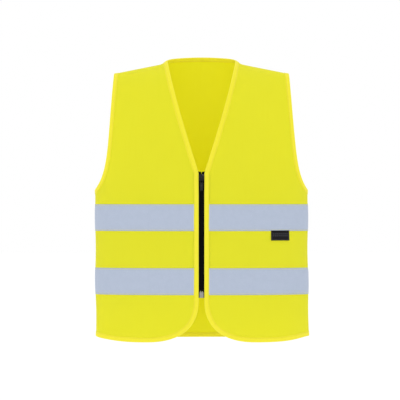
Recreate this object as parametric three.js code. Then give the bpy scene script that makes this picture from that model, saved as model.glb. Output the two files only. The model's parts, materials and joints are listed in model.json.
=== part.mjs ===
// A child's high visibility vest: three cloth panels wrapped on an unseen torso, two reflective bands,
// bound edges and a separating front zip. Millimetres, +Z up, the front faces -Y, +X is the wearer's left.
// Heights are measured up from the lowest point of the hem. At the end the whole vest is moved so that the
// origin lies midway between the high shoulder points, where the shoulder seams meet the neck.
import * as THREE from 'three';

const { Vector3, Shape, BoxGeometry, ExtrudeGeometry, MathUtils } = THREE;
const { lerp, clamp } = MathUtils;

// ---- Driving dimensions -----------------------------------------------------------------------------

const torso = { halfWidth: 201.5, halfDepth: 78, squareness: 2.5, shoulderRound: 120 };
const shoulder = { tipX: 166, tipHeight: 507, slope: 0.2, neckRise: 45, neckRiseReach: 80 };
const neck = { halfWidth: 65, backHeight: 541, backArch: 6 };
const armhole = { base: 287, slope: 0.0757, scoop: 18.8, scoopReach: 25.5 };
const hem = { sideHeight: 10, cornerX: 109, cornerHeight: 84, cornerSquareness: 2.5, backHeight: 4 };
const zip = { halfGap: 5.3, bottom: 84, top: 321 };
const bands = { width: 50, lower: 90, upper: 210 };
const cloth = { half: 0.4, bandIn: 0.8, bandOut: 1.3, seamGap: 0.5, edgeInset: 1.4 };
const binding = { width: 9, slot: 0.6, inside: 1.1, outside: 1.7 };
const fold = { hemX: 88, topX: 50.4, topHeight: 430, gap: 0.8 };
const jointGap = 0.4;

const colour = {
  cloth: 0xe8e633,
  bindingTape: 0xf2e547,
  reflective: 0xb8c3d5,
  zipBlack: 0x1b1a18,
  nickel: 0xb9b9b4,
  labelBlack: 0x242225,
  careWhite: 0xeeeeea,
};

// ---- The torso form -----------------------------------------------------------------------------------

const upperBandTop = bands.upper + bands.width;
const lowerBandTop = bands.lower + bands.width;
const neckHump = (x) => Math.max(0, 1 - (x / shoulder.neckRiseReach) ** 2) ** 2;

// Height of the ridge of the form over x: the shoulder seam, and over the neck a hump that is cut away.
const ridge = (x) =>
  shoulder.tipHeight + shoulder.slope * (shoulder.tipX - Math.abs(x)) + shoulder.neckRise * neckHump(x);

// Positive inside the form, zero on it.
function inside(p) {
  const side = 1 - Math.abs(p.x / torso.halfWidth) ** torso.squareness;
  const q = Math.min(1, (ridge(p.x) - p.z) / torso.shoulderRound);
  return side * q * (2 - q) - (p.y / torso.halfDepth) ** 2;
}

function gradient(p) {
  const step = 0.01;
  const along = (axis) => {
    const a = p.clone();
    const b = p.clone();
    a[axis] += step;
    b[axis] -= step;
    return (inside(a) - inside(b)) / (2 * step);
  };
  return new Vector3(along('x'), along('y'), along('z'));
}

const outward = (p) => gradient(p).negate().normalize();

// Moves a point that lies near the form onto it.
function settle(p) {
  const q = p.clone();
  for (let i = 0; i < 4; i++) {
    const g = gradient(q);
    q.addScaledVector(g, -inside(q) / g.lengthSq());
  }
  return q;
}

function depth(x, height) {
  const side = 1 - Math.abs(x / torso.halfWidth) ** torso.squareness;
  const q = clamp((ridge(x) - height) / torso.shoulderRound, 0, 1);
  return torso.halfDepth * Math.sqrt(Math.max(0, side) * q * (2 - q));
}

const onFront = (x, height) => new Vector3(x, -depth(x, height), height);
const onBack = (x, height) => new Vector3(x, depth(x, height), height);

// Front and back are drawn apart by the seam gap, gradually where a strip passes over a seam.
const seamShift = (y) => (cloth.seamGap / 2) * clamp(y / 4, -1, 1);

// ---- The outline of the cloth -------------------------------------------------------------------------

const armholeX = (height) =>
  shoulder.tipX +
  armhole.slope * (shoulder.tipHeight - height) +
  armhole.scoop * Math.exp(-(height - armhole.base) / armhole.scoopReach);

const neckPoint = ridge(neck.halfWidth);
const vNeck = new THREE.QuadraticBezierCurve(
  new THREE.Vector2(zip.halfGap, zip.top - 3),
  new THREE.Vector2(52, 462),
  new THREE.Vector2(neck.halfWidth, neckPoint),
);
function vNeckX(height) {
  let low = 0;
  let high = 1;
  for (let i = 0; i < 30; i++) {
    const mid = (low + high) / 2;
    if (vNeck.getPoint(mid).y < height) low = mid;
    else high = mid;
  }
  return vNeck.getPoint(low).x;
}
const frontEdgeX = (height) => (height <= zip.top - 3 ? zip.halfGap : vNeckX(height));

// The front hem: a rounded corner below the zip, level, then a small rise to the side seam.
// inset is the distance in from the bound edge.
function hemHeight(x, inset = 0) {
  if (x > hem.cornerX) {
    return inset + hem.sideHeight * ((x - hem.cornerX) / (torso.halfWidth - hem.cornerX)) ** 2.5;
  }
  const across = (hem.cornerX - x) / (hem.cornerX - zip.halfGap - inset);
  const n = hem.cornerSquareness;
  return inset + (hem.cornerHeight - inset) * (1 - Math.max(0, 1 - across ** n) ** (1 / n));
}
const backHemHeight = (x) => lerp(hem.backHeight, hem.sideHeight, Math.abs(x / torso.halfWidth) ** 6);
const backNeckHeight = (x) =>
  lerp(
    neck.backHeight - neck.backArch * (x / neck.halfWidth) ** 2,
    neckPoint,
    Math.abs(x / neck.halfWidth) ** 16,
  );

// The line that each front folds open about, from the hem to the neck edge.
const foldX = (height) => lerp(fold.hemX, fold.topX, height / fold.topHeight);

// ---- Making closed solids -----------------------------------------------------------------------------

// A flat box with a fine grid, wrapped onto the form. place gives the point on the form for u and v in 0..1.
// low and high are the distances out from the cloth's middle. half is -1 on the front, 1 on the back.
function wrap(half, columns, rows, place, low, high) {
  const made = new BoxGeometry(1, 1, 1, columns, rows, 1);
  const position = made.getAttribute('position');
  for (let i = 0; i < position.count; i++) {
    const base = place(position.getX(i) + 0.5, position.getY(i) + 0.5);
    const point = base.clone().addScaledVector(outward(base), position.getZ(i) > 0 ? high : low);
    point.y += (half * cloth.seamGap) / 2;
    position.setXYZ(i, point.x, point.y, point.z);
  }
  return made;
}

// The U-shaped section of a folded binding: s runs in from the edge, t out from the cloth.
function bindingSection() {
  const { width, slot, inside: inner, outside: outer } = binding;
  const section = new Shape();
  section.moveTo(width, inner);
  section.lineTo(width, outer);
  section.lineTo(0, outer);
  section.lineTo(0, -outer);
  section.lineTo(width, -outer);
  section.lineTo(width, -inner);
  section.lineTo(slot, -inner);
  section.lineTo(slot, inner);
  section.closePath();
  return section;
}

// The way in from an edge of the form, along the cloth. The cloth lies on the left of the path,
// seen from outside.
function inwardAt(path, i) {
  const before = path[Math.max(0, i - 1)];
  const after = path[Math.min(path.length - 1, i + 1)];
  return outward(path[i]).cross(after.clone().sub(before)).normalize();
}

const moveIn = (edge, inward, distance) => settle(edge.clone().addScaledVector(inward, distance));

// Draws a section along an edge of the form.
function strip(path, section) {
  const last = path.length - 1;
  const points = path.map((p) => p.clone());
  const shorten = (end, next) => points[end].lerp(path[next], jointGap / path[end].distanceTo(path[next]));
  shorten(0, 1);
  shorten(last, last - 1);
  const inwards = points.map((_, i) => inwardAt(points, i));
  const made = new ExtrudeGeometry(section, { depth: 1, steps: last, bevelEnabled: false });
  const position = made.getAttribute('position');
  for (let i = 0; i < position.count; i++) {
    const station = Math.round(position.getZ(i) * last);
    const base = moveIn(points[station], inwards[station], position.getX(i));
    const point = base.clone().addScaledVector(outward(base), position.getY(i));
    point.y += seamShift(base.y);
    position.setXYZ(i, point.x, point.y, point.z);
  }
  return made;
}

const steps = (count, f) => Array.from({ length: count + 1 }, (_, i) => f(i / count));
const early = (w) => w ** 2;
const late = (w) => 1 - (1 - w) ** 2;
const angleOf = (x) => Math.asin(clamp(x / torso.halfWidth, -1, 1));

// A plain block between two corners.
function block(x0, x1, y0, y1, z0, z1) {
  const made = new BoxGeometry(x1 - x0, y1 - y0, z1 - z0);
  return made.translate((x0 + x1) / 2, (y0 + y1) / 2, (z0 + z1) / 2);
}

// A section in x and y, drawn up from one height to another.
function column(outline, z0, z1, holes = []) {
  const section = new Shape(outline.map(([x, y]) => new THREE.Vector2(x, y)));
  for (const hole of holes) section.holes.push(new THREE.Path(hole.map(([x, y]) => new THREE.Vector2(x, y))));
  return new ExtrudeGeometry(section, { depth: z1 - z0, bevelEnabled: false }).translate(0, 0, z0);
}
const rectangle = (x0, x1, y0, y1) => [[x0, y0], [x1, y0], [x1, y1], [x0, y1]];

// ---- Nodes --------------------------------------------------------------------------------------------

const vest = new THREE.Group();
function add(name, geometry, finish, roughness, metalness = 0) {
  const material = new THREE.MeshStandardMaterial({ color: colour[finish], roughness, metalness });
  const mesh = new THREE.Mesh(geometry, material);
  mesh.name = name;
  vest.add(mesh);
  return mesh;
}

// The same piece on both sides. The geometry is the wearer's left, at +X.
function addPair(name, geometry, ...look) {
  add('left_' + name, geometry, ...look);
  add('right_' + name, geometry, ...look).scale.x = -1;
}

// ---- Rows that the panels share -------------------------------------------------------------------------

// Each row has a height at the front edge, a height at the side and a kind. Bands lie between whole rows.
const hemRows = 3;
const clothArmholeBase = armhole.base - cloth.edgeInset;
const lowRows = [bands.lower, lowerBandTop, bands.upper, upperBandTop, clothArmholeBase];
const chestSides = [287.5, 288.8, 291.5, 296.5, 305, 319, 338, 362, 390];
const chestCount = chestSides.length;
const topCount = 8;
const topSides = steps(topCount, (w) => lerp(chestSides.at(-1), shoulder.tipHeight, late(w))).slice(1);
const rowOf = { lowerBand: hemRows, upperBand: hemRows + 2 };
const straightRows = hemRows + lowRows.length - 1;
const rowCount = straightRows + chestCount + topCount;

// The armhole's bound edge, and the edge of the cloth a little inside it. Each row above the base ends on it.
const armholePath = [armhole.base, ...chestSides, ...topSides]
  .map((height) => onFront(Math.min(armholeX(height), torso.halfWidth), height));
const clothArmhole = armholePath.map((p, i) => moveIn(p, inwardAt(armholePath, i), cloth.edgeInset));
const clothTip = clothArmhole.at(-1);

// ---- Front panels ---------------------------------------------------------------------------------------


function sideInnerX(height) {
  const straight = foldX(height) + fold.gap / 2;
  return height <= fold.topHeight + 1 ? straight : frontEdgeX(height) + cloth.edgeInset;
}

// The outer part of a front, from the fold to the side seam and up to the shoulder.
function frontSidePoint(u, v) {
  const row = v * rowCount;
  const between = (inner, outer) => torso.halfWidth * Math.sin(lerp(angleOf(inner), angleOf(outer), u));
  if (row <= straightRows + 1e-6) {
    const flatRow = Math.max(0, row - hemRows);
    const k = Math.min(lowRows.length - 2, Math.floor(flatRow + 1e-6));
    const height = lerp(lowRows[k], lowRows[k + 1], flatRow - k);
    if (row >= hemRows - 1e-6) return onFront(between(sideInnerX(height), torso.halfWidth), height);
    const x = between(sideInnerX(lerp(0, bands.lower, row / hemRows)), torso.halfWidth);
    return onFront(x, lerp(hemHeight(x, cloth.edgeInset), bands.lower, row / hemRows));
  }
  const index = Math.round(row) - straightRows;
  const side = clothArmhole[index];
  const inChest = index <= chestCount;
  const w = inChest ? index / chestCount : (index - chestCount) / topCount;
  const inner = inChest
    ? lerp(clothArmholeBase, fold.topHeight + 1, w)
    : lerp(fold.topHeight + 1, neckPoint, late(w));
  const x = between(sideInnerX(inner), side.x);
  const share = (x - sideInnerX(inner)) / (side.x - sideInnerX(inner));
  const toRidge = inChest ? 0 : w ** 4 * (ridge(x) - lerp(neckPoint, clothTip.z, share));
  return onFront(x, Math.min(lerp(inner, side.z, share) + toRidge, ridge(x)));
}

// The inner part of a front, from the zip and the neck edge to the fold. It swings open.
const centreRows = [bands.lower, lowerBandTop, bands.upper, upperBandTop, zip.top - 3, 375, fold.topHeight];
const centreColumns = 5;
const centreRowCount = hemRows + centreRows.length - 1;
function frontCentrePoint(u, v) {
  const row = v * centreRowCount;
  const flatRow = Math.max(0, row - hemRows);
  const k = Math.min(centreRows.length - 2, Math.floor(flatRow + 1e-6));
  const height = lerp(centreRows[k], centreRows[k + 1], flatRow - k);
  const edge = frontEdgeX(height) + cloth.edgeInset;
  const line = edge + binding.width - cloth.edgeInset + jointGap;
  const column = u * centreColumns;
  const outer = foldX(height) - fold.gap / 2;
  const x = column <= 1 ? lerp(edge, line, column) : lerp(line, outer, (column - 1) / (centreColumns - 1));
  if (row >= hemRows - 1e-6) return onFront(x, height);
  const hemX = lerp(zip.halfGap + cloth.edgeInset, fold.hemX - fold.gap / 2, early(u));
  const up = row / hemRows;
  return onFront(lerp(hemX, x, up), lerp(hemHeight(hemX, cloth.edgeInset), bands.lower, up));
}

const sideColumns = 11;
addPair('front_side_panel', wrap(-1, sideColumns, rowCount, frontSidePoint, -cloth.half, cloth.half), 'cloth', 0.8);
addPair(
  'front_centre_panel',
  wrap(-1, centreColumns, centreRowCount, frontCentrePoint, -cloth.half, cloth.half),
  'cloth',
  0.8,
);

// ---- Back panel -----------------------------------------------------------------------------------------

const shoulderColumns = 8;
const neckColumns = 12;
const backColumns = 2 * shoulderColumns + neckColumns;

const backNeckPath = steps(neckColumns, (w) => -neck.halfWidth * Math.cos(Math.PI * w))
  .map((x) => onBack(x, backNeckHeight(x)));
const clothNeckPath = backNeckPath.map((p, i) => moveIn(p, inwardAt(backNeckPath, i), cloth.edgeInset));

// Where a column meets the top edge: along one shoulder, the back of the neck, then the other shoulder.
function backTop(column) {
  const across = neckColumns - (column - shoulderColumns);
  if (across > 0 && across < neckColumns) return clothNeckPath[across];
  const fromTip = Math.min(column, backColumns - column) / shoulderColumns;
  const x = lerp(clothTip.x, neck.halfWidth + cloth.edgeInset, fromTip);
  return onBack(across > 0 ? x : -x, ridge(x));
}

function backPoint(u, v) {
  const row = v * rowCount;
  const angle = Math.PI * (0.5 - u);
  if (row <= straightRows + 1e-6) {
    const x = torso.halfWidth * Math.sin(angle);
    const flatRow = Math.max(0, row - hemRows);
    const k = Math.min(lowRows.length - 2, Math.floor(flatRow + 1e-6));
    const height = lerp(lowRows[k], lowRows[k + 1], flatRow - k);
    if (row >= hemRows - 1e-6) return onBack(x, height);
    return onBack(x, lerp(backHemHeight(x) + cloth.edgeInset, bands.lower, row / hemRows));
  }
  const side = clothArmhole[Math.round(row) - straightRows];
  const up = (side.z - clothArmholeBase) / (clothTip.z - clothArmholeBase);
  const top = backTop(Math.round(u * backColumns));
  const x = side.x * lerp(Math.sin(angle), top.x / clothTip.x, up ** 1.5);
  return onBack(x, Math.min(lerp(clothArmholeBase, top.z, up), ridge(x)));
}
add('back_panel', wrap(1, backColumns, rowCount, backPoint, -cloth.half, cloth.half), 'cloth', 0.8);

// ---- Reflective bands -----------------------------------------------------------------------------------

// A band covers one row of a panel, so it follows the same facets.
function band(half, point, columns, firstColumn, rows, row) {
  const place = (u, v) => point(lerp(firstColumn, columns, u) / columns, (row + v) / rows);
  return wrap(half, columns - firstColumn, 1, place, cloth.bandIn, cloth.bandOut);
}
for (const [name, row] of [['lower_band', rowOf.lowerBand], ['upper_band', rowOf.upperBand]]) {
  addPair(name + '_side', band(-1, frontSidePoint, sideColumns, 0, rowCount, row), 'reflective', 0.45);
  addPair(name + '_centre', band(-1, frontCentrePoint, centreColumns, 1, centreRowCount, row), 'reflective', 0.45);
  add('back_' + name, band(1, backPoint, backColumns, 0, rowCount, row), 'reflective', 0.45);
}

// ---- Edge bindings --------------------------------------------------------------------------------------

const section = bindingSection();
const addBindingPair = (name, path) => addPair(name, strip(path, section), 'bindingTape', 0.75);
const bindingMeet = fold.topHeight + 2;

const acrossSeam = (p) => new Vector3(p.x, -p.y, p.z);
addBindingPair('armhole_binding', [...armholePath, ...armholePath.slice(0, -1).reverse().map(acrossSeam)]);

addBindingPair(
  'front_neck_binding',
  steps(topCount, (w) => lerp(neckPoint, bindingMeet, early(w))).map((height) => onFront(frontEdgeX(height), height)),
);

const cornerAngles = steps(14, (w) => (w * Math.PI) / 2);
const cornerPower = 2 / hem.cornerSquareness;
const cornerPath = cornerAngles.map((a) => {
  const x = hem.cornerX - (hem.cornerX - zip.halfGap) * Math.cos(a) ** cornerPower;
  return onFront(x, hem.cornerHeight * (1 - Math.sin(a) ** cornerPower));
});
const beforeFold = (p) => p.x < fold.hemX - 4;
addBindingPair('front_edge_binding', [
  ...steps(5, (w) => lerp(bindingMeet, zip.top - 3, w)).map((height) => onFront(frontEdgeX(height), height)),
  ...steps(4, (w) => lerp(zip.top - 3, hem.cornerHeight, w)).slice(1, -1).map((height) => onFront(zip.halfGap, height)),
  ...cornerPath.filter(beforeFold),
  onFront(fold.hemX, hemHeight(fold.hemX)),
]);

addBindingPair(
  'front_hem_binding',
  steps(12, (w) => torso.halfWidth * Math.sin(lerp(angleOf(fold.hemX), Math.PI / 2, w)))
    .map((x) => onFront(x, hemHeight(x))),
);

const backHemPath = steps(25, (w) => torso.halfWidth * Math.sin(Math.PI * (0.5 - w)));
add('back_hem_binding', strip(backHemPath.map((x) => onBack(x, backHemHeight(x))), section), 'bindingTape', 0.75);
add('back_neck_binding', strip(backNeckPath, section), 'bindingTape', 0.75);

// ---- Labels ---------------------------------------------------------------------------------------------

// A small folded flag label hangs from under the lower edge of the upper band.
const flagLabel = { x0: 130.5, x1: 164.8, drop: 18, inner: 1.3, outer: 2.1 };
add(
  'flag_label',
  wrap(
    -1,
    4,
    1,
    (u, v) => onFront(lerp(flagLabel.x0, flagLabel.x1, u), bands.upper - jointGap - flagLabel.drop * (1 - v)),
    flagLabel.inner,
    flagLabel.outer,
  ),
  'labelBlack',
  0.9,
);

// The care label is sewn into the left side seam and lies against the inside of the back.
const careLabel = { from: 84, to: 56, bottom: 152, top: 204, inner: -2.2, outer: -1.6 };
const radians = Math.PI / 180;
add(
  'care_label',
  wrap(
    1,
    4,
    1,
    (u, v) => {
      const x = torso.halfWidth * Math.sin(lerp(careLabel.from, careLabel.to, u) * radians);
      return onBack(x, lerp(careLabel.bottom, careLabel.top, v));
    },
    careLabel.inner,
    careLabel.outer,
  ),
  'careWhite',
  0.7,
);

// ---- Zip ------------------------------------------------------------------------------------------------

// Across the zip the cloth is flat. out() turns a distance out from the cloth into y.
const clothY = -torso.halfDepth - cloth.seamGap / 2;
const out = (t) => clothY - t;

const tape = { inner: 1.8, outer: 16, back: -2.6, front: -2.1 };
const coil = { inner: 0.7, outer: 3.5, back: -1.8, front: 0.7, bottom: 97.5, top: 317.2 };
addPair(
  'zip_tape',
  block(tape.inner, tape.outer, out(tape.front), out(tape.back), zip.bottom, zip.top + 5),
  'zipBlack',
  0.85,
);
addPair(
  'zip_coil',
  block(coil.inner, coil.outer, out(coil.front), out(coil.back), coil.bottom, coil.top),
  'zipBlack',
  0.4,
);
addPair(
  'zip_top_stop',
  block(coil.inner, coil.outer, out(0.9), out(coil.back), coil.top + jointGap, coil.top + 3.4),
  'zipBlack',
  0.4,
);

// The box at the foot is fixed to the left tape. The pin on the right tape lifts out of it.
const pin = { inner: 1, outer: 3, back: -1, front: 0.3, bottom: zip.bottom + 0.4, top: coil.bottom - jointGap };
const pinBlock = block(pin.inner, pin.outer, out(pin.front), out(pin.back), pin.bottom, pin.top);
add('left_retainer_pin', pinBlock, 'nickel', 0.35, 0.9);
add('right_insertion_pin', pinBlock, 'nickel', 0.35, 0.9).scale.x = -1;
const socket = rectangle(-3.35, 3.35, out(pin.front + 0.35), out(pin.back - 0.35));
add(
  'retainer_box',
  column(rectangle(-3.9, 3.9, out(1.1), out(-1.8)), zip.bottom, zip.bottom + 11, [socket]),
  'nickel',
  0.35,
  0.9,
);

// The slider's section is an H on its side: two plates, the wedge between the coils, lips on the front plate.
const slider = { bottom: 303.4, top: 316.6, halfWidth: 4.8, lip: 0.9, wedge: 0.35 };
const front = { out: 2.0, in: 1.1 };
const rear = { out: -3.2, in: -4.0 };
const sliderHalf = [
  [slider.halfWidth, out(front.out)],
  [slider.halfWidth, out(-1.4)],
  [slider.halfWidth - slider.lip, out(-1.4)],
  [slider.halfWidth - slider.lip, out(front.in)],
  [slider.wedge, out(front.in)],
  [slider.wedge, out(rear.out)],
  [slider.halfWidth, out(rear.out)],
  [slider.halfWidth, out(rear.in)],
];
add(
  'zip_slider',
  column([...sliderHalf, ...sliderHalf.map(([x, y]) => [-x, y]).reverse()], slider.bottom, slider.top),
  'zipBlack',
  0.4,
  0.3,
);

// The bridge arches over the front plate and carries the pull.
const bridge = { bottom: 304.6, top: 315.6, foot: 2.6, halfWidth: 0.8, crown: 0.9 };
const tunnel = { out: 4.6 };
function bridgeGeometry() {
  const low = front.out + jointGap;
  const arch = new Shape();
  arch.moveTo(bridge.bottom, low);
  arch.lineTo(bridge.bottom, tunnel.out);
  arch.lineTo(bridge.bottom + 1.5, tunnel.out + bridge.crown);
  arch.lineTo(bridge.top - 1.5, tunnel.out + bridge.crown);
  arch.lineTo(bridge.top, tunnel.out);
  arch.lineTo(bridge.top, low);
  arch.lineTo(bridge.top - bridge.foot, low);
  arch.lineTo(bridge.top - bridge.foot, tunnel.out);
  arch.lineTo(bridge.bottom + bridge.foot, tunnel.out);
  arch.lineTo(bridge.bottom + bridge.foot, low);
  arch.closePath();
  const made = new ExtrudeGeometry(arch, { depth: 2 * bridge.halfWidth, bevelEnabled: false });
  // The shape is drawn with height along x and distance out along y. This stands it up.
  made.applyMatrix4(new THREE.Matrix4().makeBasis(
    new Vector3(0, 0, 1),
    new Vector3(0, -1, 0),
    new Vector3(1, 0, 0),
  ));
  return made.translate(-bridge.halfWidth, clothY, 0);
}
add('slider_bridge', bridgeGeometry(), 'zipBlack', 0.4, 0.3);

// The pull hangs from the bridge by the bar above its window.
const pull = { halfWidth: 2.9, window: 1.6, bottom: 285, windowBottom: 300.5, bar: 1.5, thickness: 1 };
const pivot = { height: (bridge.bottom + bridge.top) / 2, out: (front.out + tunnel.out) / 2 };
function pullGeometry() {
  const top = pivot.height + pull.bar / 2;
  const outline = new Shape();
  outline.moveTo(-pull.halfWidth, top);
  outline.lineTo(-pull.halfWidth, pull.bottom + pull.halfWidth);
  outline.absarc(0, pull.bottom + pull.halfWidth, pull.halfWidth, Math.PI, 2 * Math.PI, false);
  outline.lineTo(pull.halfWidth, top);
  outline.closePath();
  const low = pull.windowBottom;
  const high = pivot.height - pull.bar / 2;
  outline.holes.push(new THREE.Path(rectangle(-pull.window, pull.window, low, high)
    .map(([x, y]) => new THREE.Vector2(x, y))));
  const made = new ExtrudeGeometry(outline, { depth: pull.thickness, bevelEnabled: false, curveSegments: 8 });
  return made.rotateX(Math.PI / 2).translate(0, out(pivot.out) + pull.thickness / 2, 0);
}
add('zip_pull', pullGeometry(), 'zipBlack', 0.45, 0.2);

// ---- The part's own frame ---------------------------------------------------------------------------------

for (const piece of vest.children) piece.position.z = -neckPoint;

export default vest;
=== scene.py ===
import json
import math

import bpy
import numpy as np
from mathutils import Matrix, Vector

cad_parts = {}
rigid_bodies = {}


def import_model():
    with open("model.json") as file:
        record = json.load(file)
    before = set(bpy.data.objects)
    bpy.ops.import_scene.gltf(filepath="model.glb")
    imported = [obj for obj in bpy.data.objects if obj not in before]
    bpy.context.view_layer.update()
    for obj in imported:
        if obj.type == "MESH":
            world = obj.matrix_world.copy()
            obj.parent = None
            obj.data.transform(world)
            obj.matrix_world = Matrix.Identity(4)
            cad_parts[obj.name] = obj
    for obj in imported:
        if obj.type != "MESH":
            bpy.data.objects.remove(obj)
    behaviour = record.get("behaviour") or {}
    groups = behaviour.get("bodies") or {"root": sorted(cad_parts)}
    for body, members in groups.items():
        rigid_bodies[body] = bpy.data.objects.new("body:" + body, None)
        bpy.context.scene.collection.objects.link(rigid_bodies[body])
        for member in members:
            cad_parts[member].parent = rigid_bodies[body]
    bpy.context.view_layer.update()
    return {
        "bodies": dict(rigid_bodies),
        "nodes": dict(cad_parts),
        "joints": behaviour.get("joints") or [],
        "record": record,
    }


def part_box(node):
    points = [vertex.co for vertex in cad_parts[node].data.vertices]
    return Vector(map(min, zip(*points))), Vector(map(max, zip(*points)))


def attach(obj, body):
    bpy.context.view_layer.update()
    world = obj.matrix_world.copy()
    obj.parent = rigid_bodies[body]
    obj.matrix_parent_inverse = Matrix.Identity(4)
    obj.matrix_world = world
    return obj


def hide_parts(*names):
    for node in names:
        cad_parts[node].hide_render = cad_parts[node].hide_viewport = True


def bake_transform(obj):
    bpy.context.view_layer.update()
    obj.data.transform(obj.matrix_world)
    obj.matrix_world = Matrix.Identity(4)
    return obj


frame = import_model()
print("frame loaded:", len(frame["nodes"]), "nodes")

# Metres throughout. Heights are counted up from the lowest point of the hem, which is hemZ in the frame.
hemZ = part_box("left_front_edge_binding")[0].z
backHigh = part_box("back_panel")[1]
cadCloth = 0.0004  # half the thickness of the frame's plain cloth
seamShift = 0.00025  # front and back lie this far either side of the side and shoulder seams

torso = {
    "halfWidth": backHigh.x - cadCloth,
    "halfDepth": backHigh.y - cadCloth - seamShift,
    "squareness": 2.5,  # 2 is an ellipse, more is boxier
    "shoulderRound": 0.12,
}
cut = {
    "tipX": 0.166, "tipHeight": 0.507, "shoulderSlope": 0.2, "neckRise": 0.045, "neckRiseReach": 0.08,
    "neckX": 0.065, "backNeckHeight": 0.541, "backNeckArch": 0.006, "vFoot": 0.318, "vPull": (0.052, 0.462),
    "armholeBase": 0.287, "armholeSlope": 0.0757, "scoop": 0.0188, "scoopReach": 0.0255,
    "sideHem": 0.01, "backHem": 0.004, "cornerX": 0.109, "cornerHeight": 0.084, "cornerSquareness": 2.5,
    "frontGap": 0.0053,  # from the middle of the zip to the bound front edge
}
drape = {"hemFolds": 0.0016, "sideFolds": 0.0009, "slack": 0.0006, "seamDip": 0.0004, "seamReach": 0.0022}
foldTop = Vector((0.0504, -0.0767, hemZ + 0.43))
foldFoot = Vector((0.088, -0.0729, hemZ))


# The camera stands straight in front, far off behind a long lens, as for a catalogue.
def setCamera():
    view = {"distance": 6.0, "height": hemZ + 0.2675, "sideways": -0.0028, "frameWidth": 0.76}
    data = bpy.data.cameras.new("catalogueCamera")
    data.lens = data.sensor_width * view["distance"] / view["frameWidth"]
    camera = bpy.data.objects.new("catalogueCamera", data)
    camera.location = (view["sideways"], -view["distance"], view["height"])
    camera.rotation_euler = (math.pi / 2, 0, 0)
    data.clip_end = 60
    bpy.context.scene.collection.objects.link(camera)
    bpy.context.scene.camera = camera


setCamera()


# The shape that the cloth hangs in: a torso that is never seen. Points are rows of x, y and height.
def ridge(x):
    rise = np.clip(1 - (x / cut["neckRiseReach"]) ** 2, 0, None) ** 2
    return cut["tipHeight"] + cut["shoulderSlope"] * (cut["tipX"] - np.abs(x)) + cut["neckRise"] * rise


def insideness(p):
    side = 1 - np.abs(p[:, 0] / torso["halfWidth"]) ** torso["squareness"]
    q = np.minimum(1, (ridge(p[:, 0]) - p[:, 2]) / torso["shoulderRound"])
    return side * q * (2 - q) - (p[:, 1] / torso["halfDepth"]) ** 2


def slopeOf(p):
    step = 1e-5
    slope = np.empty_like(p)
    for axis in range(3):
        move = np.zeros(3)
        move[axis] = step
        slope[:, axis] = (insideness(p + move) - insideness(p - move)) / (2 * step)
    return slope


def outwardAt(p):
    slope = -slopeOf(p)
    return slope / np.linalg.norm(slope, axis=1)[:, None]


def settle(p):
    for _ in range(4):
        slope = slopeOf(p)
        p = p - slope * (insideness(p) / (slope**2).sum(1))[:, None]
    return p


def depthAt(x, h):
    side = np.clip(1 - np.abs(x / torso["halfWidth"]) ** torso["squareness"], 0, None)
    q = np.clip((ridge(x) - h) / torso["shoulderRound"], 0, 1)
    return torso["halfDepth"] * np.sqrt(side * q * (2 - q))


def onBody(x, h, half):
    x, h = np.broadcast_arrays(np.asarray(x, float), np.asarray(h, float))
    return np.stack([x, half * depthAt(x, h), h], -1)


def smooth(t):
    t = np.clip(t, 0, 1)
    return t * t * (3 - 2 * t)


# How far the cloth stands off the torso shape: soft folds that grow towards the hem and die out at the zip.
def drapeAt(p):
    around = np.arctan2(p[:, 0] / torso["halfWidth"], -p[:, 1] / torso["halfDepth"])
    h = p[:, 2]
    loose = smooth((np.abs(around) - 0.12) / 0.7)
    held = 1 - smooth((h - 0.36) / 0.14)
    low = np.exp(-h / 0.11)
    folds = drape["hemFolds"] * low * np.sin(9 * around + 0.9 * np.sin(13 * h))
    sides = drape["sideFolds"] * np.sin(5 * around + 8 * h) * np.sin(11 * h + 1) ** 2
    slack = drape["slack"] * np.cos(2 * math.pi * (h - 0.055) / 0.12) * smooth((0.29 - h) / 0.05)
    seam = drape["seamDip"] * np.exp(-((p[:, 1] / drape["seamReach"]) ** 2))
    return loose * held * (folds + sides - slack) - seam


# A point of the torso shape, moved out along its normal onto the draped cloth.
def lay(p, out):
    placed = p + outwardAt(p) * (out + drapeAt(p))[:, None]
    placed[:, 1] += seamShift * np.clip(p[:, 1] / 0.004, -1, 1)
    return placed


# Mesh making. A grid is an array of rows, columns and three coordinates.
def gridFaces(rows, columns, closed=False):
    i, j = np.meshgrid(np.arange(rows - 1), np.arange(columns if closed else columns - 1), indexing="ij")
    k = (j + 1) % columns
    here, above = i * columns, (i + 1) * columns
    return np.stack([here + j, here + k, above + k, above + j], -1).reshape(-1, 4)


def makePiece(name, points, faces, finish, place=None, sharp=40, lifted=True):
    points = np.array(points, float).reshape(-1, 3)
    if lifted:
        points[:, 2] += hemZ
    mesh = bpy.data.meshes.new(name)
    mesh.from_pydata(points.tolist(), [], [list(map(int, f)) for f in faces])
    mesh.polygons.foreach_set("use_smooth", [True] * len(mesh.polygons))
    mesh.set_sharp_from_angle(angle=math.radians(sharp))
    if place is not None:
        layer = mesh.attributes.new("clothPlace", "FLOAT_VECTOR", "POINT")
        layer.data.foreach_set("vector", np.asarray(place, np.float32).ravel())
    piece = bpy.data.objects.new(name, mesh)
    bpy.context.scene.collection.objects.link(piece)
    mesh.materials.append(finish)
    return piece


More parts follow.
